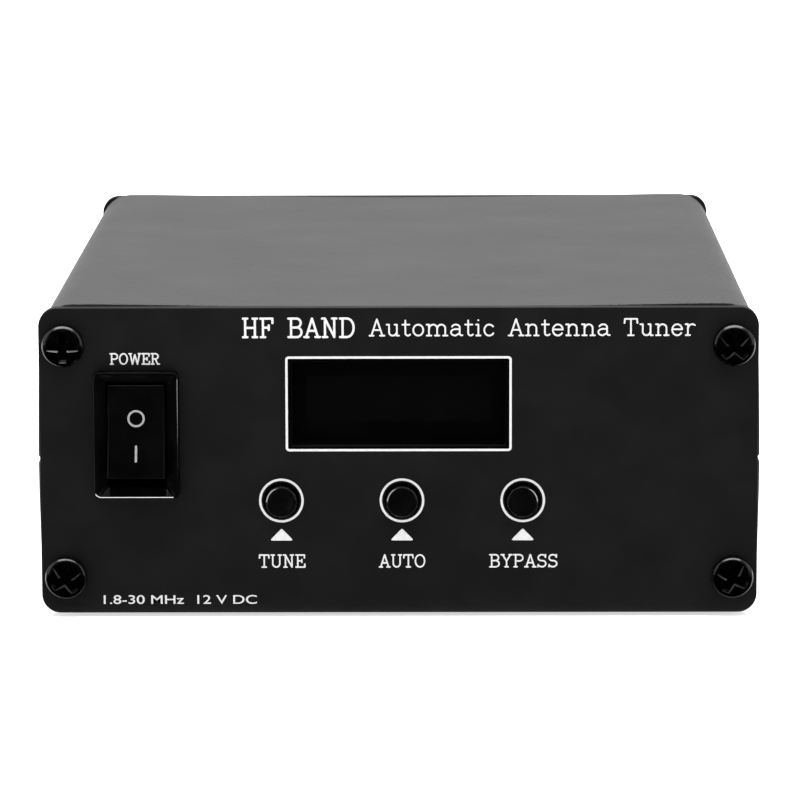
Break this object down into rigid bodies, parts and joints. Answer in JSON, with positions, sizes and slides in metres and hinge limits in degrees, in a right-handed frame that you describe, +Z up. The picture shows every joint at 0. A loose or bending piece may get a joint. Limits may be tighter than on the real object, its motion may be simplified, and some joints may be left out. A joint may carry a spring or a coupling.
{
  "type": "antenna tuner",
  "caption": "Small automatic short-wave antenna tuner: split black aluminium case, front panel with rocker switch, display window and push buttons, coaxial sockets behind.",
  "frame": {"origin": "middle of the base: the centre of the whole length and width, at the height of the runners the case stands on", "axes": "+X to the right seen from the front, +Y from the front panel to the rear panel, +Z up; the front panel faces -Y"},
  "size_m": [0.088, 0.1326, 0.0383],
  "materials": {
    "case_black": "fine sand-grained black anodising",
    "panel_black": "satin black lacquered board with white print",
    "screw_black": "black oxide",
    "switch_black": "gloss black",
    "button_black": "gloss black",
    "display_black": "polished black display glass",
    "board_green": "satin green lacquered board",
    "chip_black": "moulded black",
    "relay_blue": "moulded blue",
    "coil_red": "lacquered winding",
    "socket_nickel": "bright nickel plate",
    "fastener_steel": "zinc plate",
    "contact_brass": "polished",
    "insulator_white": "waxy white",
    "lead_red": "soft insulation"
  },
  "bodies": {
    "case": {"shell_bottom": "case_black", "shell_top": "case_black", "front_panel": "panel_black", "rear_panel": "panel_black", "front_screw_1": "screw_black", "front_screw_2": "screw_black", "front_screw_3": "screw_black", "front_screw_4": "screw_black", "rear_screw_1": "screw_black", "rear_screw_2": "screw_black", "rear_screw_3": "screw_black", "rear_screw_4": "screw_black", "antenna_socket_screw_1": "screw_black", "antenna_socket_screw_2": "screw_black", "antenna_socket_screw_3": "screw_black", "antenna_socket_screw_4": "screw_black", "transceiver_socket_screw_1": "screw_black", "transceiver_socket_screw_2": "screw_black", "transceiver_socket_screw_3": "screw_black", "transceiver_socket_screw_4": "screw_black", "switch_housing": "switch_black", "switch_tab_1": "contact_brass", "switch_tab_2": "contact_brass", "display_glass": "display_black", "display_board": "board_green", "display_ribbon": "lead_red", "tune_switch": "chip_black", "auto_switch": "chip_black", "bypass_switch": "chip_black", "main_board": "board_green", "controller_chip": "chip_black", "smoothing_capacitor": "chip_black", "regulator": "chip_black", "bridge_transformer": "chip_black", "relay_bank_left": "relay_blue", "relay_bank_right": "relay_blue", "coil_1": "coil_red", "coil_2": "coil_red", "coil_3": "coil_red", "coil_4": "coil_red", "antenna_socket": "socket_nickel", "antenna_insulator": "insulator_white", "antenna_contact": "contact_brass", "transceiver_socket": "socket_nickel", "transceiver_insulator": "insulator_white", "transceiver_contact": "contact_brass", "supply_jack": "switch_black", "supply_jack_pin": "socket_nickel", "supply_jack_nut": "socket_nickel", "earth_stud": "fastener_steel", "earth_washer": "fastener_steel", "earth_nut": "fastener_steel", "antenna_lead": "lead_red", "transceiver_lead": "lead_red", "supply_lead": "lead_red"},
    "rocker": {"power_rocker": "switch_black"},
    "button_tune": {"tune_button": "button_black"},
    "button_auto": {"auto_button": "button_black"},
    "button_bypass": {"bypass_button": "button_black"}
  },
  "joints": [
    {"name": "rocker_tilt", "type": "hinge", "parent": "case", "child": "rocker", "pos_m": [-0.03185, -0.06168, 0.0225], "axis": [1, 0, 0], "range_deg": [0, 20]},
    {"name": "tune_press", "type": "slide", "parent": "case", "child": "button_tune", "axis": [0, 1, 0], "range_m": [0, 0.00025], "stiffness_N_per_m": 6400},
    {"name": "auto_press", "type": "slide", "parent": "case", "child": "button_auto", "axis": [0, 1, 0], "range_m": [0, 0.00025], "stiffness_N_per_m": 6400},
    {"name": "bypass_press", "type": "slide", "parent": "case", "child": "button_bypass", "axis": [0, 1, 0], "range_m": [0, 0.00025], "stiffness_N_per_m": 6400}
  ]
}
